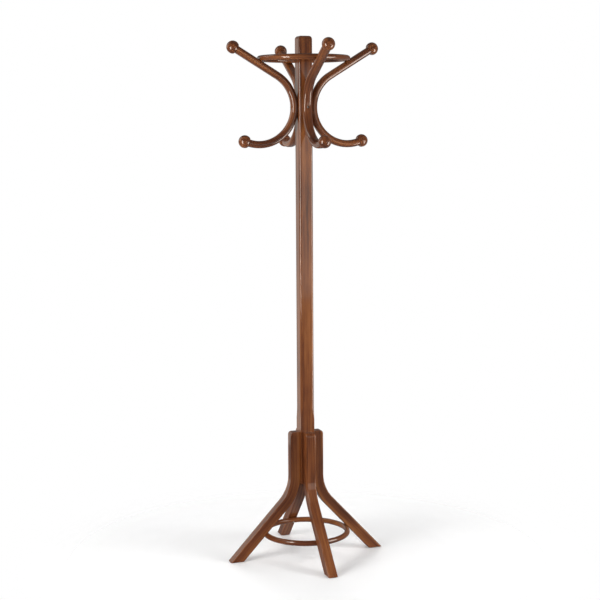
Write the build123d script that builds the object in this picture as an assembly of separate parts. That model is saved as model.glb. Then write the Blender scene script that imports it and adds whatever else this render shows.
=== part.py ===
"""Standing coat rack: a square post, four bent arms with ball ends, a hat ring, four bent legs and an
umbrella ring, each piece a solid of its own with the screws and dowels that hold it.

Millimetres, +Z up. The origin is on the floor under the post, and the four sides of the post face
+X, +Y, -X and -Y. An arm or a leg is drawn in its own upright plane, where u is the distance out from
the middle of the post and z the height, and is then turned to its side.
"""

from build123d import *
import os
from math import cos, radians, sin, tan

# ---- Driving dimensions ----

HEIGHT = 1830.0  # floor to the top of the post

POST_SIZE = 50.0
POST_BOTTOM = 265.0  # the post ends between the legs, clear of the floor
POST_CORNER = 8.0  # rounding of the shaft's long corners
POST_FOOT_CORNER = 1.0  # the corners are nearly square beside the legs
POST_STOP_LOW = 497.0  # height where the square corners end
POST_STOP_HIGH = 545.0  # height where the rounded corners begin
POST_TOP_ROUND = 12.0

ARM_THICK = 25.0  # in the plane of the bend
ARM_WIDE = 32.0  # across the plane of the bend
ARM_EDGE = 12.0  # nearly a half round on each side
ARM_RADIUS = 126.0  # centreline of the bend
ARM_HEIGHT = 1588.0  # middle of the bend, where the screw is
ARM_FLAT = 3.0  # planed off the back of the arm to seat it on the post
ARM_LOWER_TURN = 108.5  # degrees of bend below the screw
ARM_UPPER_TURN = 59.0  # degrees of bend above the screw
ARM_STRAIGHT = 169.0  # straight upper end, from the bend to the ball's seat

BALL_RADIUS = 22.0
BALL_SEAT = 13.0  # from the ball's centre to the flat that meets the arm

LEG_THICK = 36.0  # in the plane of the bend
LEG_WIDE = 34.0
LEG_EDGE = 3.0
LEG_TOP = 452.0
LEG_TOP_ROUND = 12.0  # outer top corner
LEG_ANGLE = 43.0  # degrees from upright
LEG_BEND_RADIUS = 129.0  # on the outer face
LEG_REACH = 287.0  # from the middle of the post to the tip of the toe

GLIDE_THICK = 2.0
GLIDE_INSET = 4.0

RING_SECTION = 19.0
RING_SEAT = 0.5  # how deep the wood is eased where a ring rests
HAT_RING_RADIUS = 151.0
UMBRELLA_RING_RADIUS = 147.0

DOWEL_DIAMETER = 10.0
BALL_DOWEL_IN_BALL = 15.0
BALL_DOWEL_IN_ARM = 18.0
LEG_DOWEL_LENGTH = 36.0
LEG_DOWEL_HEIGHTS = (335.0, 410.0)

ARM_SCREW_DIAMETER = 5.0
ARM_SCREW_LENGTH = 34.0  # under the head
ARM_SCREW_HEAD = 8.0
ARM_SCREW_HEAD_THICK = 3.0
ARM_RECESS_DIAMETER = 8.6
ARM_RECESS_DEPTH = 9.0

RING_SCREW_DIAMETER = 3.5
RING_SCREW_LENGTH = 28.0  # over all
RING_SCREW_HEAD = 7.0
RING_SCREW_HEAD_THICK = 2.4  # tapered, sunk flush

CROSS_WIDTH = 1.1  # cross recess in a screw head
CROSS_LENGTH = 4.4
CROSS_DEPTH = 1.4
POINT_LENGTH = 5.0  # tapered tip of a screw

SIDES = {"right": 0, "back": 90, "left": 180, "front": 270}

# ---- Worked-out places ----

POST_FACE = POST_SIZE / 2
ARM_CENTRE = (POST_FACE + ARM_THICK / 2 - ARM_FLAT + ARM_RADIUS, ARM_HEIGHT)
SOLE = GLIDE_THICK  # height of the leg's cut end
LEG_OUTER = POST_FACE + LEG_THICK
LEG_SLOPE = tan(radians(LEG_ANGLE))


def direction(angle):
    """Unit step in the (u, z) plane at an angle from +u."""
    return cos(radians(angle)), sin(radians(angle))


def step(point, heading, length):
    """The point that lies a length along a heading in the (u, z) plane."""
    return point[0] + heading[0] * length, point[1] + heading[1] * length


def upright(point, heading):
    """Workplane at (u, z), facing along heading, with its own y across the arm or leg."""
    return Plane(
        origin=(point[0], 0, point[1]),
        x_dir=(-heading[1], 0, heading[0]),
        z_dir=(heading[0], 0, heading[1]),
    )


# The arm's two ends, as (point, heading away from the arm).
ARM_BEND_TOP = step(ARM_CENTRE, direction(180 - ARM_UPPER_TURN), ARM_RADIUS)
ARM_UPPER_HEADING = direction(90 - ARM_UPPER_TURN)
ARM_UPPER_END = step(ARM_BEND_TOP, ARM_UPPER_HEADING, ARM_STRAIGHT)
ARM_LOWER_END = step(ARM_CENTRE, direction(180 + ARM_LOWER_TURN), ARM_RADIUS)
ARM_LOWER_HEADING = direction(270 + ARM_LOWER_TURN)
ARM_ENDS = {
    "upper": (ARM_UPPER_END, ARM_UPPER_HEADING),
    "lower": (ARM_LOWER_END, ARM_LOWER_HEADING),
}

# The hat ring rests on the inner face of the straight upper end of each arm.
ARM_INNER_NORMAL = direction(180 - ARM_UPPER_TURN)
ARM_INNER_POINT = step(ARM_BEND_TOP, ARM_INNER_NORMAL, ARM_THICK / 2)
RING_OFFSET = RING_SECTION / 2 - RING_SEAT
HAT_LINE_POINT = step(ARM_INNER_POINT, ARM_INNER_NORMAL, RING_OFFSET)
HAT_RING_HEIGHT = (
    HAT_LINE_POINT[1]
    + (HAT_RING_RADIUS - HAT_LINE_POINT[0]) * ARM_UPPER_HEADING[1] / ARM_UPPER_HEADING[0]
)
HAT_SCREW_HEADING = (-ARM_INNER_NORMAL[0], -ARM_INNER_NORMAL[1])

# The umbrella ring rests on the inner face of each sloping leg.
LEG_INNER_FOOT = LEG_REACH - LEG_THICK / cos(radians(LEG_ANGLE))
LEG_INNER_NORMAL = direction(180 + LEG_ANGLE)
UMBRELLA_LINE_POINT = step((LEG_INNER_FOOT, 0), LEG_INNER_NORMAL, RING_OFFSET)
UMBRELLA_RING_HEIGHT = UMBRELLA_LINE_POINT[1] + (UMBRELLA_LINE_POINT[0] - UMBRELLA_RING_RADIUS) / LEG_SLOPE
UMBRELLA_SCREW_HEADING = (-LEG_INNER_NORMAL[0], -LEG_INNER_NORMAL[1])


def on_side(shape, side):
    """Turns a shape drawn on the right-hand side to another side of the post."""
    return shape.rotate(Axis.Z, SIDES[side])


def on_every_side(shape):
    return [on_side(shape, side) for side in SIDES]


# ---- Fasteners, drawn on the right-hand side ----


def cylinder_from(plane, diameter, length):
    """A cylinder that starts on a workplane and runs along its normal."""
    return plane * Cylinder(diameter / 2, length, align=(Align.CENTER, Align.CENTER, Align.MIN))


def cross_recess(plane):
    """Cutter for a cross recess that starts on a workplane and goes down its normal."""
    blade = Box(CROSS_LENGTH, CROSS_WIDTH, 2 * CROSS_DEPTH)
    return plane * (blade + blade.rotate(Axis.Z, 90))


def screw(plane, diameter, length, head, head_thick, sunk):
    """A wood screw whose head's outer face lies on the workplane and whose shank runs along its normal."""
    if sunk:
        cap = Cone(head / 2, diameter / 2, head_thick, align=(Align.CENTER, Align.CENTER, Align.MIN))
    else:
        cap = Cylinder(head / 2, head_thick, align=(Align.CENTER, Align.CENTER, Align.MIN))
        cap = fillet(cap.edges().group_by(Axis.Z)[0], head_thick * 0.6)
    shank_length = length - head_thick - POINT_LENGTH
    shank = Pos(0, 0, head_thick) * Cylinder(
        diameter / 2, shank_length, align=(Align.CENTER, Align.CENTER, Align.MIN)
    )
    tip = Pos(0, 0, length - POINT_LENGTH) * Cone(
        diameter / 2, 0.4, POINT_LENGTH, align=(Align.CENTER, Align.CENTER, Align.MIN)
    )
    return plane * (cap + shank + tip) - cross_recess(plane)


ARM_SCREW_SEAT = ARM_CENTRE[0] - ARM_RADIUS + ARM_THICK / 2 - ARM_RECESS_DEPTH  # u of the recess's floor
ARM_SCREW_PLANE = upright((ARM_SCREW_SEAT + ARM_SCREW_HEAD_THICK, ARM_HEIGHT), (-1, 0))


def arm_screw():
    length = ARM_SCREW_LENGTH + ARM_SCREW_HEAD_THICK
    return screw(
        ARM_SCREW_PLANE, ARM_SCREW_DIAMETER, length, ARM_SCREW_HEAD, ARM_SCREW_HEAD_THICK, sunk=False
    )


def ring_screw(radius, height, heading):
    """A sunk screw through a ring's middle, from its free side into the wood behind it."""
    start = step((radius, height), heading, -RING_SECTION / 2 + RING_SEAT)
    plane = upright(start, heading)
    return screw(
        plane, RING_SCREW_DIAMETER, RING_SCREW_LENGTH, RING_SCREW_HEAD, RING_SCREW_HEAD_THICK, sunk=True
    )


def ring_screw_hole(radius, height, heading):
    """Cutter for a ring screw's hole, open at the ring's free side."""
    start = step((radius, height), heading, -RING_SECTION / 2 + RING_SEAT)
    plane = upright(start, heading)
    mouth = cylinder_from(upright(step(start, heading, -2), heading), RING_SCREW_HEAD, 2)
    sink = plane * Cone(
        RING_SCREW_HEAD / 2,
        RING_SCREW_DIAMETER / 2,
        RING_SCREW_HEAD_THICK,
        align=(Align.CENTER, Align.CENTER, Align.MIN),
    )
    return mouth + sink + cylinder_from(plane, RING_SCREW_DIAMETER, RING_SCREW_LENGTH)


def ball_dowel(end):
    point, heading = ARM_ENDS[end]
    start = step(point, heading, -BALL_DOWEL_IN_ARM)
    length = BALL_DOWEL_IN_ARM + BALL_DOWEL_IN_BALL
    return cylinder_from(upright(start, heading), DOWEL_DIAMETER, length)


def leg_dowel(height):
    start = (POST_FACE - LEG_DOWEL_LENGTH / 2, height)
    return cylinder_from(upright(start, (1, 0)), DOWEL_DIAMETER, LEG_DOWEL_LENGTH)


def leg_dowels():
    return [leg_dowel(height) for height in LEG_DOWEL_HEIGHTS]


# ---- Wooden pieces ----


def post():
    """Rounded shaft, run-out of the rounding, and a square foot, bored for the screws and dowels."""

    def outline(height, corner):
        return Pos(0, 0, height) * RectangleRounded(POST_SIZE, POST_SIZE, corner)

    foot = extrude(outline(POST_BOTTOM, POST_FOOT_CORNER), POST_STOP_LOW - POST_BOTTOM)
    middle = (POST_STOP_LOW + POST_STOP_HIGH) / 2
    middle_corner = POST_FOOT_CORNER + (POST_CORNER - POST_FOOT_CORNER) * 0.75
    run_out = loft(
        [
            outline(POST_STOP_LOW, POST_FOOT_CORNER),
            outline(middle, middle_corner),
            outline(POST_STOP_HIGH, POST_CORNER),
        ],
        ruled=True,
    )
    shaft = extrude(outline(POST_STOP_HIGH, POST_CORNER), HEIGHT - POST_STOP_HIGH)
    body = foot + run_out + shaft
    for turn in (0, 90):
        side_view = Plane.XZ * Pos(0, HEIGHT - POST_TOP_ROUND) * Rectangle(
            POST_SIZE, 2 * POST_TOP_ROUND
        )
        top = fillet(side_view.vertices().group_by(Axis.Z)[-1], POST_TOP_ROUND)
        keep = extrude(top, POST_SIZE, both=True)
        below = Pos(0, 0, HEIGHT / 2 - POST_TOP_ROUND) * Box(POST_SIZE * 2, POST_SIZE * 2, HEIGHT)
        body = body & (keep.rotate(Axis.Z, turn) + below)
    for cutter in on_every_side(arm_screw()):
        body -= cutter
    for dowel in leg_dowels():
        for cutter in on_every_side(dowel):
            body -= cutter
    return body


def arm(hat_ring):
    """One bent arm on the right-hand side."""
    with BuildLine(Plane.XZ) as path:
        CenterArc(
            ARM_CENTRE, ARM_RADIUS, 180 + ARM_LOWER_TURN, -(ARM_LOWER_TURN + ARM_UPPER_TURN)
        )
        Line(ARM_BEND_TOP, ARM_UPPER_END)
    into_arm = (-ARM_LOWER_HEADING[0], -ARM_LOWER_HEADING[1])
    section = upright(ARM_LOWER_END, into_arm) * RectangleRounded(ARM_THICK, ARM_WIDE, ARM_EDGE)
    body = sweep(section, path=path.wires()[0])
    body -= Pos(0, 0, ARM_HEIGHT) * Box(POST_SIZE, POST_SIZE, 4 * ARM_THICK)
    body -= cylinder_from(upright((0, ARM_HEIGHT), (1, 0)), ARM_SCREW_DIAMETER, ARM_CENTRE[0])
    body -= cylinder_from(
        upright((ARM_SCREW_SEAT, ARM_HEIGHT), (1, 0)), ARM_RECESS_DIAMETER, ARM_RADIUS
    )
    for end in ARM_ENDS:
        body -= ball_dowel(end)
    body -= hat_ring
    body -= ring_screw(HAT_RING_RADIUS, HAT_RING_HEIGHT, HAT_SCREW_HEADING)
    return body


def ball(end):
    """A turned ball with a flat seat, bored for its dowel."""
    point, heading = ARM_ENDS[end]
    centre = step(point, heading, BALL_SEAT)
    body = Pos(centre[0], 0, centre[1]) * Sphere(BALL_RADIUS)
    waste = upright(point, heading) * Box(
        2 * BALL_RADIUS, 2 * BALL_RADIUS, BALL_RADIUS, align=(Align.CENTER, Align.CENTER, Align.MAX)
    )
    return body - waste - ball_dowel(end)


def hoop_quarter(radius, height):
    """The right-hand quarter of a plain round hoop, from 45 degrees before +X to 45 after."""
    section = Plane.XZ * Pos(radius, height) * Circle(RING_SECTION / 2)
    return revolve(section, Axis.Z, 90).rotate(Axis.Z, -45)


def ring(radius, height, screw_heading):
    """A round hoop, bored and countersunk for its screws."""
    quarter = hoop_quarter(radius, height) - ring_screw_hole(radius, height, screw_heading)
    first, *others = on_every_side(quarter)
    return first.fuse(*others)


def leg(umbrella_ring):
    """One bent leg on the right-hand side, from its upright block to its level sole."""
    bend_height = (LEG_REACH - LEG_OUTER) / LEG_SLOPE + LEG_BEND_RADIUS * tan(radians(LEG_ANGLE / 2))
    bend_centre = (LEG_OUTER + LEG_BEND_RADIUS, bend_height)
    toward_leg = direction(180 + LEG_ANGLE)
    inner_radius = LEG_BEND_RADIUS + LEG_THICK
    outer_bend_end = step(bend_centre, toward_leg, LEG_BEND_RADIUS)
    inner_bend_end = step(bend_centre, toward_leg, inner_radius)
    top_corner = (LEG_OUTER - LEG_TOP_ROUND, LEG_TOP - LEG_TOP_ROUND)
    toe = (LEG_REACH - SOLE * LEG_SLOPE, SOLE)
    heel = (LEG_INNER_FOOT - SOLE * LEG_SLOPE, SOLE)
    with BuildSketch(Plane.XZ) as profile:
        with BuildLine():
            Line((POST_FACE, LEG_TOP), (top_corner[0], LEG_TOP))
            CenterArc(top_corner, LEG_TOP_ROUND, 90, -90)
            Line((LEG_OUTER, top_corner[1]), (LEG_OUTER, bend_height))
            CenterArc(bend_centre, LEG_BEND_RADIUS, 180, LEG_ANGLE)
            Line(outer_bend_end, toe)
            Line(toe, heel)
            Line(heel, inner_bend_end)
            CenterArc(bend_centre, inner_radius, 180 + LEG_ANGLE, -LEG_ANGLE)
            Line((POST_FACE, bend_height), (POST_FACE, LEG_TOP))
        make_face()
    body = extrude(profile.sketch, LEG_WIDE / 2, both=True)
    side_faces = body.faces().filter_by(Axis.Y)
    long_edges = [
        edge for face in side_faces for edge in face.edges() if edge.center().Z > SOLE + LEG_EDGE
    ]
    body = fillet(long_edges, LEG_EDGE)
    for dowel in leg_dowels():
        body -= dowel
    body -= umbrella_ring
    body -= ring_screw(UMBRELLA_RING_RADIUS, UMBRELLA_RING_HEIGHT, UMBRELLA_SCREW_HEADING)
    return body


def foot_glide():
    """A thin hard glide under a leg's sole, a little smaller than the sole."""
    inner = LEG_INNER_FOOT - SOLE * LEG_SLOPE + GLIDE_INSET
    outer = LEG_REACH - SOLE * LEG_SLOPE - GLIDE_INSET
    middle = (inner + outer) / 2
    outline = Pos(middle, 0, 0) * RectangleRounded(outer - inner, LEG_WIDE - 2 * GLIDE_INSET, GLIDE_INSET)
    return extrude(outline, GLIDE_THICK)


# ---- Assembly ----


def build():
    """Every node by name, in its place."""
    nodes = {"post": post()}
    right_arm = arm(hoop_quarter(HAT_RING_RADIUS, HAT_RING_HEIGHT))
    right_leg = leg(hoop_quarter(UMBRELLA_RING_RADIUS, UMBRELLA_RING_HEIGHT))
    right_balls = {end: ball(end) for end in ARM_ENDS}
    for side in SIDES:
        nodes["arm_" + side] = on_side(right_arm, side)
        nodes["leg_" + side] = on_side(right_leg, side)
        for end, shape in right_balls.items():
            nodes[end + "_ball_" + side] = on_side(shape, side)
    nodes["hat_ring"] = ring(HAT_RING_RADIUS, HAT_RING_HEIGHT, HAT_SCREW_HEADING)
    nodes["umbrella_ring"] = ring(
        UMBRELLA_RING_RADIUS, UMBRELLA_RING_HEIGHT, UMBRELLA_SCREW_HEADING
    )
    groups = {
        "arm_screws": [arm_screw()],
        "ball_dowels": [ball_dowel(end) for end in ARM_ENDS],
        "leg_dowels": leg_dowels(),
        "hat_ring_screws": [ring_screw(HAT_RING_RADIUS, HAT_RING_HEIGHT, HAT_SCREW_HEADING)],
        "umbrella_ring_screws": [
            ring_screw(UMBRELLA_RING_RADIUS, UMBRELLA_RING_HEIGHT, UMBRELLA_SCREW_HEADING)
        ],
        "foot_glides": [foot_glide()],
    }
    for name, shapes in groups.items():
        solids = [turned.solid() for shape in shapes for turned in on_every_side(shape)]
        nodes[name] = Compound(children=solids)
    return nodes


def main():
    os.makedirs("parts", exist_ok=True)
    for name, shape in build().items():
        export_step(shape, "parts/" + name + ".step")


main()
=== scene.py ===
"""Standing coat rack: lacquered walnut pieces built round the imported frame, on a white studio floor.

Metres, +Z up, in the frame's own axes. An arm or a leg is drawn in its own upright plane on the
right-hand side, where u is the distance out from the middle of the post and z the height, and is then
turned to its side of the post.
"""

from math import asin, cos, pi, radians, sin, sqrt, tan

import bmesh
import bpy
import numpy as np
from mathutils import Matrix, Vector

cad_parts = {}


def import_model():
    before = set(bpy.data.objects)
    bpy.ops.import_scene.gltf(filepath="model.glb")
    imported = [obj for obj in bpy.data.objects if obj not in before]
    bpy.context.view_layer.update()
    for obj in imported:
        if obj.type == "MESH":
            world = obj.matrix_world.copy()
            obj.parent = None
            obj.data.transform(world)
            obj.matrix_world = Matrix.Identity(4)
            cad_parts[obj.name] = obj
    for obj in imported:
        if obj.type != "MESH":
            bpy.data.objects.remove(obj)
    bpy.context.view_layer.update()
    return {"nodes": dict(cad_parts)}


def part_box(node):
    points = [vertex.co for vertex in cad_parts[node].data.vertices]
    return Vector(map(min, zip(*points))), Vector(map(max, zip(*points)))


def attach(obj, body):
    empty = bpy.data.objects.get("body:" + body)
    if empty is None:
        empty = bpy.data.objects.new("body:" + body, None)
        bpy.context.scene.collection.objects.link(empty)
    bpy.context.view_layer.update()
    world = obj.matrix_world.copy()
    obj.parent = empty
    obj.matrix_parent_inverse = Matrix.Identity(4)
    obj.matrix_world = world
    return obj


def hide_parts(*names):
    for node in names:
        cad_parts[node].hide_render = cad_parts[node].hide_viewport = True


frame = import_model()

MM = 0.001

# ---- Sizes read from the frame ----

POST_LOW, POST_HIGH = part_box("post")
LEG_LOW, LEG_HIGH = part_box("leg_right")
HAT_RING_LOW, HAT_RING_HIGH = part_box("hat_ring")
UMBRELLA_RING_LOW, UMBRELLA_RING_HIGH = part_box("umbrella_ring")

HEIGHT = POST_HIGH.z
POST_FACE = POST_HIGH.x
POST_BOTTOM = POST_LOW.z
ARM_WIDE = 2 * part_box("arm_right")[1].y
BALL_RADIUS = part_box("upper_ball_right")[1].y
LEG_WIDE = 2 * LEG_HIGH.y
LEG_TOP = LEG_HIGH.z
SOLE = LEG_LOW.z
RING_RADIUS = (HAT_RING_HIGH.z - HAT_RING_LOW.z) / 2  # of the ring's round section

# ---- Sizes shared with the CAD source ----

POST_CORNER = 8 * MM
POST_FOOT_CORNER = 1 * MM
POST_STOP_LOW = 497 * MM
POST_STOP_HIGH = 545 * MM
POST_TOP_ROUND = 12 * MM
POST_END_EASE = 0.5 * MM  # at its lower end

ARM_THICK = 25 * MM
ARM_EDGE = 12 * MM
ARM_RADIUS = 126 * MM
ARM_HEIGHT = 1588 * MM
ARM_FLAT = 3 * MM
ARM_LOWER_TURN = radians(108.5)
ARM_UPPER_TURN = radians(59)
ARM_STRAIGHT = 169 * MM
RECESS_RADIUS = 4.3 * MM
RECESS_DEPTH = 9 * MM

BALL_SEAT = 13 * MM

LEG_THICK = 36 * MM
LEG_EDGE = 3 * MM
LEG_TOP_ROUND = 12 * MM
LEG_ANGLE = radians(43)
LEG_BEND_RADIUS = 129 * MM

RING_SCREW_RADIUS = 3.5 * MM
RING_SCREW_DEPTH = 1.1 * MM  # from the ring's crest to a ledge just under the head's rim
RING_SCREW_PLAY = 0.1 * MM  # round the head

SIDES = {"right": 0, "back": 90, "left": 180, "front": 270}

# ---- Sizes that only shape the meshes ----

POST_SMALL_CORNER = 0.4 * MM  # its sharpest, at its ends
LEG_SMALL_CORNER = 0.2 * MM
LEG_TOP_DEPTHS = (4 * MM, 5.5 * MM, 7.5 * MM, 10 * MM)  # below the leg's top, where its rounding is drawn
BALL_SEAT_EASE = 0.5 * MM
CUT_PAST_SURFACE = 4 * MM  # how long a ring's cutters are, so that they reach past its surface
SHARP_ANGLE = radians(40)  # edges that turn more than this are shaded as edges

# ---- Worked-out places ----

ARM_CENTRE = Vector((POST_FACE + ARM_THICK / 2 - ARM_FLAT + ARM_RADIUS, ARM_HEIGHT))
ARM_UPPER_HEADING = Vector((sin(ARM_UPPER_TURN), cos(ARM_UPPER_TURN)))
ARM_UPPER_NORMAL = Vector((-cos(ARM_UPPER_TURN), sin(ARM_UPPER_TURN)))
ARM_BEND_TOP = ARM_CENTRE + ARM_UPPER_NORMAL * ARM_RADIUS
ARM_LOWER_NORMAL = Vector((-cos(ARM_LOWER_TURN), -sin(ARM_LOWER_TURN)))
ARM_LOWER_HEADING = Vector((sin(ARM_LOWER_TURN), -cos(ARM_LOWER_TURN)))
ARM_ENDS = {
    "upper": (ARM_BEND_TOP + ARM_UPPER_HEADING * ARM_STRAIGHT, ARM_UPPER_HEADING),
    "lower": (ARM_CENTRE + ARM_LOWER_NORMAL * ARM_RADIUS, ARM_LOWER_HEADING),
}

LEG_OUTER = POST_FACE + LEG_THICK
LEG_TOE = LEG_HIGH.x  # where the outer face meets the sole
LEG_BEND_HEIGHT = SOLE + (LEG_TOE - LEG_OUTER) / tan(LEG_ANGLE) + LEG_BEND_RADIUS * tan(LEG_ANGLE / 2)
LEG_CENTRE = Vector((LEG_OUTER + LEG_BEND_RADIUS, LEG_BEND_HEIGHT))
LEG_HEADING = Vector((sin(LEG_ANGLE), -cos(LEG_ANGLE)))
LEG_NORMAL = Vector((cos(LEG_ANGLE), sin(LEG_ANGLE)))  # out of the sloping outer face
LEG_SLOPE_LENGTH = (LEG_CENTRE.y - LEG_BEND_RADIUS * sin(LEG_ANGLE)) / cos(LEG_ANGLE) + LEG_THICK


# ---- Mesh building ----


def rounded_rectangle(half_a, half_b, corner, segments=8):
    """Outline of a rounded rectangle as an (n, 2) array, anticlockwise from +a."""
    points = []
    for quarter, (sign_a, sign_b) in enumerate(((1, 1), (-1, 1), (-1, -1), (1, -1))):
        for step in range(segments + 1):
            angle = (quarter + step / segments) * pi / 2
            points.append(
                (
                    sign_a * (half_a - corner) + corner * cos(angle),
                    sign_b * (half_b - corner) + corner * sin(angle),
                )
            )
    return np.array(points)


def in_plane(outline, centre, normal):
    """Places an outline at a (u, z) point: its first axis along normal and its second across, along y."""
    offsets = outline[:, :1] * np.array([[normal[0], 0, normal[1]]])
    across = outline[:, 1:] * np.array([[0, 1, 0]])
    return np.array([centre[0], 0, centre[1]]) + offsets + across


def loft(outlines):
    """A closed skin over a row of outlines with the same number of points."""
    count = len(outlines[0])
    faces = [tuple(range(count)), tuple(range((len(outlines) - 1) * count, len(outlines) * count))]
    for row in range(len(outlines) - 1):
        for k in range(count):
            a = row * count + k
            b = row * count + (k + 1) % count
            faces.append((a, b, b + count, a + count))
    return skin(np.concatenate(outlines), faces)


def skin(points, faces):
    """A bmesh from points and faces, with its normals outward."""
    mesh = bmesh.new()
    vertices = [mesh.verts.new(point) for point in points]
    for face in faces:
        mesh.faces.new([vertices[k] for k in face])
    bmesh.ops.recalc_face_normals(mesh, faces=mesh.faces)
    return mesh


def revolve(profile, centre, axis, segments):
    """A closed skin turned from (distance along axis, radius) points that start and end on the axis."""
    along = Vector(axis).normalized()
    side = along.orthogonal().normalized()
    other = along.cross(side)
    first, *middle, last = profile
    points = [Vector(centre) + along * first[0]]
    for distance, radius in middle:
        for k in range(segments):
            angle = 2 * pi * k / segments
            points.append(
                Vector(centre) + along * distance + (side * cos(angle) + other * sin(angle)) * radius
            )
    points.append(Vector(centre) + along * last[0])
    end = len(points) - 1
    faces = []
    for k in range(segments):
        following = (k + 1) % segments
        faces.append((0, 1 + following, 1 + k))
        faces.append((end, end - segments + k, end - segments + following))
        for row in range(len(middle) - 1):
            start = 1 + row * segments
            faces.append((start + k, start + following, start + segments + following, start + segments + k))
    return skin(points, faces)


def plug(start, heading, radius, depth):
    """A round cutter that runs from a point along a heading."""
    profile = [(0, 0), (0, radius), (depth, radius), (depth, 0)]
    return revolve(profile, start, heading, 32)


def subtract(body, cutters):
    """Cuts the cutters out of a bmesh and gives the result as a new one."""
    made = []
    for part in (body, *cutters):
        mesh = bpy.data.meshes.new("cutting")
        part.to_mesh(mesh)
        part.free()
        made.append(bpy.data.objects.new("cutting", mesh))
        bpy.context.scene.collection.objects.link(made[-1])
    for cutter in made[1:]:
        boolean = made[0].modifiers.new("cut", "BOOLEAN")
        boolean.operation = "DIFFERENCE"
        boolean.solver = "EXACT"
        boolean.object = cutter
    graph = bpy.context.evaluated_depsgraph_get()
    result = bmesh.new()
    result.from_mesh(made[0].evaluated_get(graph).to_mesh())
    for thing in made:
        bpy.data.objects.remove(thing)
    return result


def turn_to(side):
    """The turn from the right-hand side to another side of the post."""
    return Matrix.Rotation(radians(SIDES[side]), 4, "Z")


# ---- Wooden pieces, each a bmesh on the right-hand side ----


def post():
    """Rounded shaft with a rounded top, the run-out of its corner rounding, and a nearly square foot."""

    def corner_at(height):
        share = min(max((height - POST_STOP_LOW) / (POST_STOP_HIGH - POST_STOP_LOW), 0), 1)
        return POST_FOOT_CORNER + (POST_CORNER - POST_FOOT_CORNER) * (1 - (1 - share) ** 2)

    def outline(height, inset):
        half = POST_FACE - inset
        corner = max(corner_at(height) - inset, POST_SMALL_CORNER)
        flat = rounded_rectangle(half, half, corner)
        return np.column_stack([flat, np.full(len(flat), height)])

    rows = [outline(POST_BOTTOM, POST_END_EASE), outline(POST_BOTTOM + POST_END_EASE, 0)]
    shaft_top = HEIGHT - POST_TOP_ROUND
    run_out = np.linspace(POST_STOP_LOW, POST_STOP_HIGH, 17)
    shaft = np.linspace(POST_STOP_HIGH, shaft_top, 60)[1:]
    rows += [outline(height, 0) for height in (*run_out, *shaft)]
    for angle in np.linspace(0, pi / 2, 13)[1:]:
        height = shaft_top + POST_TOP_ROUND * sin(angle)
        rows.append(outline(height, POST_TOP_ROUND * (1 - cos(angle))))
    return loft(rows)


def arm():
    """One bent arm, planed flat against the post and bored for its screw."""
    section = rounded_rectangle(ARM_THICK / 2, ARM_WIDE / 2, ARM_EDGE)
    rows = []
    for turn in np.linspace(-ARM_LOWER_TURN, ARM_UPPER_TURN, 97):
        normal = Vector((-cos(turn), sin(turn)))
        rows.append(in_plane(section, ARM_CENTRE + normal * ARM_RADIUS, normal))
    for length in np.linspace(0, ARM_STRAIGHT, 25)[1:]:
        rows.append(in_plane(section, ARM_BEND_TOP + ARM_UPPER_HEADING * length, ARM_UPPER_NORMAL))
    body = loft(rows)
    everything = body.verts[:] + body.edges[:] + body.faces[:]
    bmesh.ops.bisect_plane(body, geom=everything, plane_co=(POST_FACE, 0, 0), plane_no=(1, 0, 0), dist=1e-7)
    for vertex in body.verts:
        vertex.co.x = max(vertex.co.x, POST_FACE)
    mouth = ARM_CENTRE.x - ARM_RADIUS + ARM_THICK / 2
    recess = plug((mouth - RECESS_DEPTH, 0, ARM_HEIGHT), (1, 0, 0), RECESS_RADIUS, 2 * RECESS_DEPTH)
    return subtract(body, [recess])


def ball(end):
    """A turned ball with a flat seat where it meets the arm's end."""
    point, heading = ARM_ENDS[end]
    centre = point + heading * BALL_SEAT
    rim = pi - asin(sqrt(BALL_RADIUS**2 - BALL_SEAT**2) / BALL_RADIUS)
    profile = [(BALL_RADIUS * cos(angle), BALL_RADIUS * sin(angle)) for angle in np.linspace(0, rim, 33)]
    seat_edge = profile[-1][1]
    profile += [(-BALL_SEAT, seat_edge - BALL_SEAT_EASE), (-BALL_SEAT, 0)]
    return revolve(profile, (centre.x, 0, centre.y), (heading.x, 0, heading.y), 64)


def leg():
    """One bent leg: an upright block with an eased top, a bend and a slope cut level at the sole."""
    rows = []
    for angle in np.linspace(0, pi / 2, 9)[:-1]:
        rows.append(leg_block_row(LEG_EDGE * (1 - cos(angle))))
    for depth in (LEG_EDGE, *LEG_TOP_DEPTHS, LEG_TOP_ROUND):
        rows.append(leg_block_row(depth))
    for height in np.linspace(LEG_TOP - LEG_TOP_ROUND, LEG_BEND_HEIGHT, 14)[1:]:
        rows.append(leg_block_row(LEG_TOP - height))
    section = rounded_rectangle(LEG_THICK / 2, LEG_WIDE / 2, LEG_EDGE, 6)
    middle_radius = LEG_BEND_RADIUS + LEG_THICK / 2
    for turn in np.linspace(0, LEG_ANGLE, 25)[1:]:
        normal = Vector((cos(turn), sin(turn)))
        rows.append(in_plane(section, LEG_CENTRE - normal * middle_radius, normal))
    bend_end = LEG_CENTRE - LEG_NORMAL * middle_radius
    for length in np.linspace(0, LEG_SLOPE_LENGTH, 25)[1:]:
        rows.append(in_plane(section, bend_end + LEG_HEADING * length, LEG_NORMAL))
    body = loft(rows)
    everything = body.verts[:] + body.edges[:] + body.faces[:]
    cut = bmesh.ops.bisect_plane(
        body, geom=everything, plane_co=(0, 0, SOLE), plane_no=(0, 0, -1), clear_outer=True
    )
    rim = [item for item in cut["geom_cut"] if isinstance(item, bmesh.types.BMEdge)]
    bmesh.ops.contextual_create(body, geom=rim)
    bmesh.ops.recalc_face_normals(body, faces=body.faces)
    return body


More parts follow.
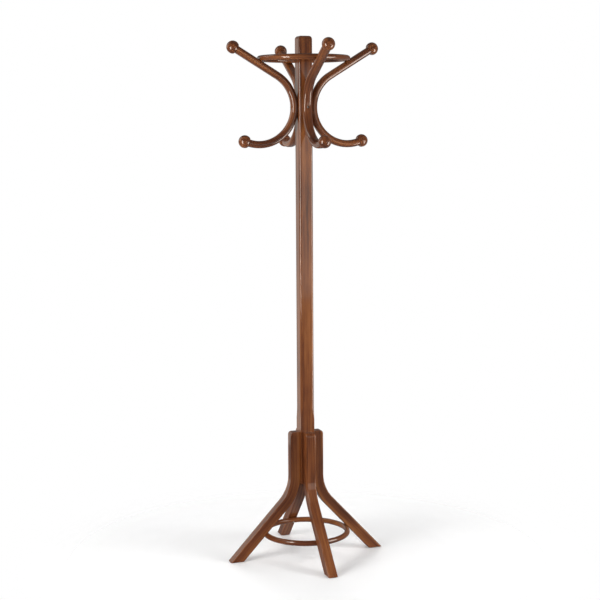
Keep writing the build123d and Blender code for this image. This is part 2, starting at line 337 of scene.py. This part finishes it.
def leg_block_row(depth):
    """Level outline of the leg's upright block at a depth below its top."""
    edge_inset = 0.0
    if depth < LEG_EDGE:
        edge_inset = LEG_EDGE - sqrt(LEG_EDGE**2 - (LEG_EDGE - depth) ** 2)
    outer = LEG_OUTER
    if depth < LEG_TOP_ROUND:
        outer -= LEG_TOP_ROUND - sqrt(LEG_TOP_ROUND**2 - (LEG_TOP_ROUND - depth) ** 2)
    corner = max(LEG_EDGE - edge_inset, LEG_SMALL_CORNER)
    section = rounded_rectangle((outer - POST_FACE) / 2, LEG_WIDE / 2 - edge_inset, corner, 6)
    return in_plane(section, ((outer + POST_FACE) / 2, LEG_TOP - depth), (1, 0))


def hoop(low, high, screw_heading):
    """A round hoop, counterbored on its free side for the four screws."""
    radius = (high.x - low.x) / 2 - RING_RADIUS
    height = (high.z + low.z) / 2
    around, across = 192, 32
    points = []
    faces = []
    for i in range(around):
        angle = 2 * pi * i / around
        for j in range(across):
            turn = 2 * pi * j / across
            reach = radius + RING_RADIUS * cos(turn)
            points.append((reach * cos(angle), reach * sin(angle), height + RING_RADIUS * sin(turn)))
            i2, j2 = (i + 1) % around, (j + 1) % across
            faces.append((i * across + j, i2 * across + j, i2 * across + j2, i * across + j2))
    cutters = []
    out = Vector((-screw_heading[0], 0, -screw_heading[1]))
    for side in SIDES:
        turn = turn_to(side)
        ledge = Vector((radius, 0, height)) + out * (RING_RADIUS - RING_SCREW_DEPTH)
        cutters.append(plug(turn @ ledge, turn @ out, RING_SCREW_RADIUS + RING_SCREW_PLAY, CUT_PAST_SURFACE))
    return subtract(skin(points, faces), cutters)


# ---- Grain: each point's place in the straight blank that the piece was made from ----
#
# Each function gives (along the grain, across it, across it the other way) for an array of points. centres
# holds the middle of the face that each point belongs to, which only the hoops need.

GRAIN_STEP = np.array([1.7, 0.31, 0.13])  # from one piece's wood to the next


def post_grain(points, centres):
    return points[:, [2, 0, 1]]


def arm_grain(points, centres):
    u, y, z = points.T
    out = np.column_stack([u - ARM_CENTRE.x, z - ARM_CENTRE.y])
    turn = np.arctan2(out[:, 1], -out[:, 0])
    beyond = (np.column_stack([u, z]) - np.array(ARM_BEND_TOP)) @ np.array(ARM_UPPER_HEADING)
    straight = (beyond > 0) & (turn > 0)
    along = np.where(straight, ARM_RADIUS * ARM_UPPER_TURN + beyond, ARM_RADIUS * turn)
    away = np.where(
        straight, out @ np.array(ARM_UPPER_NORMAL) - ARM_RADIUS, np.linalg.norm(out, axis=1) - ARM_RADIUS
    )
    return np.column_stack([along, y, away])


def leg_grain(points, centres):
    u, y, z = points.T
    radius = LEG_BEND_RADIUS + LEG_THICK / 2
    block = LEG_TOP - LEG_BEND_HEIGHT
    out = np.column_stack([u - LEG_CENTRE.x, z - LEG_CENTRE.y])
    turn = np.arctan2(-out[:, 1], -out[:, 0])
    beyond = out @ np.array(LEG_HEADING)
    along = np.where(z > LEG_BEND_HEIGHT, LEG_TOP - z, block + radius * turn)
    away = np.where(z > LEG_BEND_HEIGHT, -out[:, 0] - radius, np.linalg.norm(out, axis=1) - radius)
    sloping = turn > LEG_ANGLE
    along = np.where(sloping, block + radius * LEG_ANGLE + beyond, along)
    away = np.where(sloping, -(out @ np.array(LEG_NORMAL)) - radius, away)
    return np.column_stack([along, y, away])


def hoop_grain(points, centres):
    radius = np.linalg.norm(points[:, :2], axis=1)
    middle = np.arctan2(centres[:, 1], centres[:, 0])
    angle = np.arctan2(points[:, 1], points[:, 0])
    angle = middle + (angle - middle + pi) % (2 * pi) - pi
    mean = HAT_RING_HIGH.x - RING_RADIUS
    return np.column_stack([angle * mean, radius - mean, points[:, 2]])


def ball_grain(end):
    heading = ARM_ENDS[end][1]

    def straight(points, centres):
        u, y, z = points.T
        return np.column_stack([u * heading.x + z * heading.y, y, z * heading.x - u * heading.y])

    return straight


def write_grain(mesh, straighten, number):
    """Stores the grain coordinates on the mesh's corners, moved along for each piece so that no two match."""
    corners = np.empty(len(mesh.loops), np.int32)
    mesh.loops.foreach_get("vertex_index", corners)
    points = np.empty(len(mesh.vertices) * 3)
    mesh.vertices.foreach_get("co", points)
    points = points.reshape(-1, 3)[corners]
    counts = np.empty(len(mesh.polygons), np.int32)
    mesh.polygons.foreach_get("loop_total", counts)
    centres = np.empty(len(mesh.polygons) * 3)
    mesh.polygons.foreach_get("center", centres)
    centres = np.repeat(centres.reshape(-1, 3), counts, axis=0)
    values = straighten(points, centres) + GRAIN_STEP * number
    attribute = mesh.attributes.new("grain", "FLOAT_VECTOR", "CORNER")
    attribute.data.foreach_set("vector", values.astype(np.float32).ravel())


def wooden_piece(name, body, straighten, number, node, material, side="right"):
    """Turns a bmesh into a shaded piece that stands for its CAD node."""
    mesh = bpy.data.meshes.new(name)
    body.to_mesh(mesh)
    body.free()
    write_grain(mesh, straighten, number)
    mesh.transform(turn_to(side))
    mesh.materials.append(material)
    mesh.shade_smooth()
    mesh.set_sharp_from_angle(angle=SHARP_ANGLE)
    piece = bpy.data.objects.new(name, mesh)
    bpy.context.scene.collection.objects.link(piece)
    weighted = piece.modifiers.new("flat_faces", "WEIGHTED_NORMAL")
    weighted.keep_sharp = True
    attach(piece, "root")
    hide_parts(node)
    return piece


# ---- Materials ----


class Shader:
    """A material's node tree, with short ways to add a node and to feed its inputs."""

    def __init__(self, name):
        self.material = bpy.data.materials.new(name)
        self.material.use_nodes = True
        self.tree = self.material.node_tree
        self.surface = self.tree.nodes["Principled BSDF"]

    def feed(self, socket, value):
        """Links a socket or sets a plain value."""
        if isinstance(value, bpy.types.NodeSocket):
            self.tree.links.new(value, socket)
        elif value is not None:
            socket.default_value = value

    def set(self, **inputs):
        """Sets or links the surface's inputs, named with underscores for spaces."""
        for name, value in inputs.items():
            self.feed(self.surface.inputs[name.replace("_", " ")], value)

    def math(self, operation, a, b=None, clamp=False):
        node = self.tree.nodes.new("ShaderNodeMath")
        node.operation = operation
        node.use_clamp = clamp
        self.feed(node.inputs[0], a)
        self.feed(node.inputs[1], b)
        return node.outputs[0]

    def scaled(self, vector, scale):
        """A vector stretched along each of its axes."""
        node = self.tree.nodes.new("ShaderNodeVectorMath")
        node.operation = "MULTIPLY"
        self.feed(node.inputs[0], vector)
        node.inputs[1].default_value = scale
        return node.outputs[0]

    def added(self, a, b):
        node = self.tree.nodes.new("ShaderNodeVectorMath")
        node.operation = "ADD"
        self.feed(node.inputs[0], a)
        self.feed(node.inputs[1], b)
        return node.outputs[0]

    def noise(self, vector, detail=2.0, roughness=0.5, colour=False):
        node = self.tree.nodes.new("ShaderNodeTexNoise")
        node.inputs["Scale"].default_value = 1
        node.inputs["Detail"].default_value = detail
        node.inputs["Roughness"].default_value = roughness
        self.feed(node.inputs["Vector"], vector)
        return node.outputs["Color" if colour else "Fac"]

    def spread(self, value, low, high, to_low=0.0, to_high=1.0):
        """Maps low..high to to_low..to_high with soft ends."""
        node = self.tree.nodes.new("ShaderNodeMapRange")
        node.interpolation_type = "SMOOTHSTEP"
        self.feed(node.inputs["Value"], value)
        for name, number in zip(("From Min", "From Max", "To Min", "To Max"), (low, high, to_low, to_high)):
            node.inputs[name].default_value = number
        return node.outputs["Result"]

    def ramp(self, value, stops):
        node = self.tree.nodes.new("ShaderNodeValToRGB")
        self.feed(node.inputs["Fac"], value)
        elements = node.color_ramp.elements
        while len(elements) < len(stops):
            elements.new(0.5)
        for element, (position, colour) in zip(elements, stops):
            element.position = position
            element.color = (*colour, 1)
        return node.outputs["Color"]

    def blend(self, kind, factor, a, b):
        """Mixes two colours."""
        node = self.tree.nodes.new("ShaderNodeMix")
        node.data_type = "RGBA"
        node.blend_type = kind
        self.feed(node.inputs[0], factor)
        self.feed(node.inputs[6], a)
        self.feed(node.inputs[7], b)
        return node.outputs[2]

    def grey(self, value):
        """A grey colour from a number, to multiply another colour by."""
        node = self.tree.nodes.new("ShaderNodeCombineColor")
        for socket in node.inputs:
            self.feed(socket, value)
        return node.outputs[0]

    def bump(self, height, distance, strength=1.0, normal=None):
        node = self.tree.nodes.new("ShaderNodeBump")
        node.inputs["Distance"].default_value = distance
        node.inputs["Strength"].default_value = strength
        self.feed(node.inputs["Height"], height)
        self.feed(node.inputs["Normal"], normal)
        return node.outputs[0]

    def attribute(self, name):
        node = self.tree.nodes.new("ShaderNodeAttribute")
        node.attribute_name = name
        return node.outputs["Vector"]

    def position(self):
        return self.tree.nodes.new("ShaderNodeNewGeometry").outputs["Position"]


def walnut_lacquer():
    """Red-brown stained wood with straight grain, under a clear glossy lacquer.

    The noise scales are per metre: along the grain, and both ways across it.
    """
    wood = Shader("walnut_lacquer")
    grain = wood.attribute("grain")
    sway = wood.noise(wood.scaled(grain, (5, 20, 20)), detail=1, colour=True)
    wavy = wood.added(grain, wood.scaled(wood.added(sway, (-0.5, -0.5, -0.5)), (0, 0.006, 0.006)))
    bands = wood.noise(wood.scaled(wavy, (1.5, 95, 95)), detail=2)
    rings = wood.noise(wood.scaled(wavy, (3, 420, 420)), detail=1)
    fibres = wood.noise(wood.scaled(wavy, (9, 1500, 1500)), detail=3, roughness=0.6)
    patches = wood.noise(wood.scaled(grain, (7, 22, 22)), detail=2)
    flecks = wood.noise(wood.scaled(grain, (160, 2600, 2600)), detail=1)
    tone = wood.math("MULTIPLY", bands, 0.38)
    for noise, share in ((rings, 0.22), (fibres, 0.18), (patches, 0.22)):
        tone = wood.math("ADD", tone, wood.math("MULTIPLY", noise, share))
    stain = wood.ramp(
        tone,
        [
            (0.36, (0.050, 0.012, 0.004)),
            (0.45, (0.108, 0.029, 0.008)),
            (0.53, (0.182, 0.054, 0.014)),
            (0.64, (0.285, 0.103, 0.029)),
        ],
    )
    pores = wood.spread(flecks, 0.66, 0.74, 1.0, 0.62)
    colour = wood.blend("MULTIPLY", 1.0, stain, wood.grey(pores))
    orange_peel = wood.noise(wood.scaled(grain, (220, 260, 260)), detail=1)
    wood.set(
        Base_Color=colour,
        Roughness=wood.spread(fibres, 0.3, 0.7, 0.34, 0.46),
        Specular_IOR_Level=0.1,
        Coat_Weight=1.0,
        Coat_Roughness=0.07,
        Coat_IOR=1.5,
        Normal=wood.bump(fibres, 0.03 * MM),
        Coat_Normal=wood.bump(orange_peel, 0.004 * MM),
    )
    return wood.material


def plain_dowel():
    """Bare pale beech with fine flecks, for the hidden dowels."""
    wood = Shader("plain_dowel")
    place = wood.position()
    fibres = wood.noise(wood.scaled(place, (700, 700, 700)), detail=3)
    stain = wood.ramp(fibres, [(0.3, (0.42, 0.25, 0.13)), (0.7, (0.62, 0.42, 0.25))])
    wood.set(Base_Color=stain, Roughness=0.6, Normal=wood.bump(fibres, 0.05 * MM))
    return wood.material


def screw_steel():
    """Zinc-plated steel with a fine turned finish."""
    steel = Shader("screw_steel")
    grit = steel.noise(steel.scaled(steel.position(), (2500, 2500, 2500)), detail=2)
    steel.set(
        Base_Color=steel.ramp(grit, [(0.3, (0.42, 0.41, 0.38)), (0.7, (0.60, 0.59, 0.55))]),
        Metallic=1.0,
        Roughness=steel.spread(grit, 0.3, 0.7, 0.28, 0.42),
        Normal=steel.bump(grit, 0.02 * MM),
    )
    return steel.material


def foot_plastic():
    """Dark moulded plastic with a fine matt texture."""
    plastic = Shader("foot_plastic")
    grit = plastic.noise(plastic.scaled(plastic.position(), (1800, 1800, 1800)), detail=2)
    plastic.set(
        Base_Color=plastic.ramp(grit, [(0.3, (0.010, 0.008, 0.007)), (0.7, (0.022, 0.017, 0.014))]),
        Roughness=0.55,
        Normal=plastic.bump(grit, 0.03 * MM),
    )
    return plastic.material


# ---- Studio ----

FLOOR_RADIUS = 3.2
FLOOR_FADE = (0.45, 1.05)
FLOOR_GLOW = 0.07  # the floor is also lit from inside, like a light table


def floor():
    """A white floor that fades to the white background away from the rack.

    The lacquer mirrors the world's own floor instead, which is the same on all sides.
    """
    surface = Shader("studio_floor")
    tree = surface.tree
    distance = tree.nodes.new("ShaderNodeVectorMath")
    distance.operation = "LENGTH"
    surface.feed(distance.inputs[0], surface.position())
    fade = surface.spread(distance.outputs["Value"], *FLOOR_FADE)
    paper = surface.noise(surface.scaled(surface.position(), (9, 9, 9)), detail=3)
    surface.set(
        Base_Color=surface.ramp(paper, [(0.3, (0.93, 0.93, 0.93)), (0.7, (0.95, 0.95, 0.95))]),
        Roughness=0.9,
        Specular_IOR_Level=0.1,
        Emission_Color=(1, 1, 1, 1),
        Emission_Strength=FLOOR_GLOW,
    )
    clear = tree.nodes.new("ShaderNodeBsdfTransparent")
    mix = tree.nodes.new("ShaderNodeMixShader")
    surface.feed(mix.inputs[0], fade)
    surface.feed(mix.inputs[1], surface.surface.outputs[0])
    surface.feed(mix.inputs[2], clear.outputs[0])
    surface.feed(tree.nodes["Material Output"].inputs["Surface"], mix.outputs[0])
    mesh = bpy.data.meshes.new("studio_floor")
    rim = [
        (FLOOR_RADIUS * cos(2 * pi * k / 96), FLOOR_RADIUS * sin(2 * pi * k / 96), 0) for k in range(96)
    ]
    mesh.from_pydata(rim, [], [tuple(range(96))])
    mesh.materials.append(surface.material)
    plane = bpy.data.objects.new("studio_floor", mesh)
    plane.visible_glossy = False
    bpy.context.scene.collection.objects.link(plane)


# Each upright lamp or card has its azimuth in degrees anticlockwise from +X, its distance from the post, the
# height of its middle, its width, how tall it is, and its radiance.
LAMPS = {  # broad and soft: they light the surfaces but don't show as reflections
    "lamp_left": (203, 2.50, 1.20, 1.20, 1.60, 11.0),
    "lamp_right": (322, 2.50, 1.20, 1.20, 1.60, 8.5),
    "lamp_back": (75, 2.50, 1.50, 1.40, 1.60, 6.0),
}
CARDS = {  # they show only as reflections in gloss
    "card_left_back": (147, 1.65, 2.60, 0.70, 1.80, 2.0),
    "card_left_front": (208, 1.65, 1.25, 0.50, 1.20, 15.0),
    "card_right": (321, 1.65, 0.72, 0.80, 1.40, 9.0),
    "card_wide_back": (106, 3.00, 1.00, 1.60, 2.60, 0.47),
    "card_wide_front": (289, 5.00, 1.10, 2.50, 1.60, 1.3),
}
CARD_COLOUR = (1.0, 0.92, 0.83)
OVERHEAD_HEIGHT = 3.6
OVERHEAD_SIZE = 3.0
OVERHEAD_RADIANCE = 0.1


def area_light(name, place, look, width, tall, radiance):
    """A rectangular light whose own brightness is its radiance, whatever its size."""
    data = bpy.data.lights.new(name, "AREA")
    data.shape = "RECTANGLE"
    data.size = width
    data.size_y = tall
    data.energy = radiance * pi * width * tall
    light = bpy.data.objects.new(name, data)
    light.location = place
    light.rotation_euler = look.to_track_quat("-Z", "Y").to_euler()
    light.visible_camera = False
    bpy.context.scene.collection.objects.link(light)
    return light


def upright_light(name, azimuth, distance, height, width, tall, radiance):
    """An area light that stands beside the rack and faces it."""
    outward = Vector((cos(radians(azimuth)), sin(radians(azimuth)), 0))
    place = outward * distance + Vector((0, 0, height))
    return area_light(name, place, -outward, width, tall, radiance)


def lights():
    """The lamps, the cards and a weak light overhead."""
    for name, values in LAMPS.items():
        upright_light(name, *values).visible_glossy = False
    for name, values in CARDS.items():
        card = upright_light(name, *values)
        card.data.color = CARD_COLOUR
        card.visible_diffuse = False
    overhead = area_light(
        "overhead",
        Vector((0, 0, OVERHEAD_HEIGHT)),
        Vector((0, 0, -1)),
        OVERHEAD_SIZE,
        OVERHEAD_SIZE,
        OVERHEAD_RADIANCE,
    )
    overhead.visible_glossy = False


AMBIENT = 0.26  # from all round, on matt surfaces
ROOM_GLOSS = 0.17  # what the lacquer mirrors above and beside the rack
FLOOR_GLOSS = 0.27  # what it mirrors steeply below
FLOOR_GLOSS_ANGLES = (radians(15), radians(38))  # below level: where that begins, and where it is whole


def world():
    """White to the camera, soft and even to matt surfaces, a dim room over a white floor to glossy ones."""
    sky = bpy.data.worlds.new("studio")
    bpy.context.scene.world = sky
    sky.use_nodes = True
    tree = sky.node_tree
    rays = tree.nodes.new("ShaderNodeLightPath")
    output = tree.nodes["World Output"]

    def background(strength, colour=(1, 1, 1, 1)):
        node = tree.nodes.new("ShaderNodeBackground")
        node.inputs["Color"].default_value = colour
        node.inputs["Strength"].default_value = strength
        return node.outputs[0]

    def choose(factor, a, b):
        node = tree.nodes.new("ShaderNodeMixShader")
        tree.links.new(factor, node.inputs[0])
        tree.links.new(a, node.inputs[1])
        tree.links.new(b, node.inputs[2])
        return node.outputs[0]

    direction = tree.nodes.new("ShaderNodeTexCoord")
    split = tree.nodes.new("ShaderNodeSeparateXYZ")
    tree.links.new(direction.outputs["Generated"], split.inputs[0])
    below = tree.nodes.new("ShaderNodeMapRange")
    tree.links.new(split.outputs["Z"], below.inputs["Value"])
    for name, angle in zip(("From Min", "From Max"), FLOOR_GLOSS_ANGLES):
        below.inputs[name].default_value = -sin(angle)
    glossy = choose(below.outputs["Result"], background(ROOM_GLOSS), background(FLOOR_GLOSS))
    lit = choose(rays.outputs["Is Glossy Ray"], background(AMBIENT), glossy)
    seen = choose(rays.outputs["Is Camera Ray"], lit, background(1.0))
    tree.links.new(seen, output.inputs["Surface"])


# ---- Camera ----

CAMERA_AZIMUTH = radians(-18.928)
CAMERA_DISTANCE = 4.8004
CAMERA_HEIGHT = 1.5375
CAMERA_PITCH = radians(7.342)  # downward
CAMERA_YAW = radians(0.2015)
CAMERA_ROLL = radians(-0.344)
CAMERA_LENS = 82.82  # millimetres on a sensor 36 wide


def camera():
    """The camera at the left front of the rack, at eye height."""
    data = bpy.data.cameras.new("camera")
    data.sensor_width = 36
    data.lens = CAMERA_LENS
    heading = CAMERA_AZIMUTH + CAMERA_YAW
    forward = Vector(
        (
            -sin(heading) * cos(CAMERA_PITCH),
            cos(heading) * cos(CAMERA_PITCH),
            -sin(CAMERA_PITCH),
        )
    )
    right = Vector((cos(heading), sin(heading), 0))
    up = right.cross(forward)
    rolled_right = right * cos(CAMERA_ROLL) + up * sin(CAMERA_ROLL)
    rolled_up = up * cos(CAMERA_ROLL) - right * sin(CAMERA_ROLL)
    turn = Matrix((rolled_right, rolled_up, -forward)).transposed()
    eye = bpy.data.objects.new("camera", data)
    eye.location = (
        sin(CAMERA_AZIMUTH) * CAMERA_DISTANCE,
        -cos(CAMERA_AZIMUTH) * CAMERA_DISTANCE,
        CAMERA_HEIGHT,
    )
    eye.rotation_euler = turn.to_euler()
    bpy.context.scene.collection.objects.link(eye)
    bpy.context.scene.camera = eye


# ---- Assembly ----


def build_rack():
    """Makes the wooden pieces, and gives the CAD fasteners and glides their materials."""
    walnut = walnut_lacquer()
    wooden_piece("walnut_post", post(), post_grain, 0, "post", walnut)
    number = 1
    for side in SIDES:
        wooden_piece("walnut_arm_" + side, arm(), arm_grain, number, "arm_" + side, walnut, side)
        wooden_piece("walnut_leg_" + side, leg(), leg_grain, number + 1, "leg_" + side, walnut, side)
        for end in ARM_ENDS:
            number += 2
            node = end + "_ball_" + side
            wooden_piece("walnut_" + node, ball(end), ball_grain(end), number, node, walnut, side)
    hat_ring = hoop(HAT_RING_LOW, HAT_RING_HIGH, -ARM_UPPER_NORMAL)
    wooden_piece("walnut_hat_ring", hat_ring, hoop_grain, number + 1, "hat_ring", walnut)
    umbrella_ring = hoop(UMBRELLA_RING_LOW, UMBRELLA_RING_HIGH, LEG_NORMAL)
    wooden_piece("walnut_umbrella_ring", umbrella_ring, hoop_grain, number + 2, "umbrella_ring", walnut)
    steel = screw_steel()
    dowel = plain_dowel()
    finishes = {
        "arm_screws": steel,
        "hat_ring_screws": steel,
        "umbrella_ring_screws": steel,
        "ball_dowels": dowel,
        "leg_dowels": dowel,
        "foot_glides": foot_plastic(),
    }
    for node, material in finishes.items():
        frame["nodes"][node].material_slots[0].material = material


bpy.context.scene.view_settings.view_transform = "Standard"
camera()
world()
lights()
floor()
build_rack()
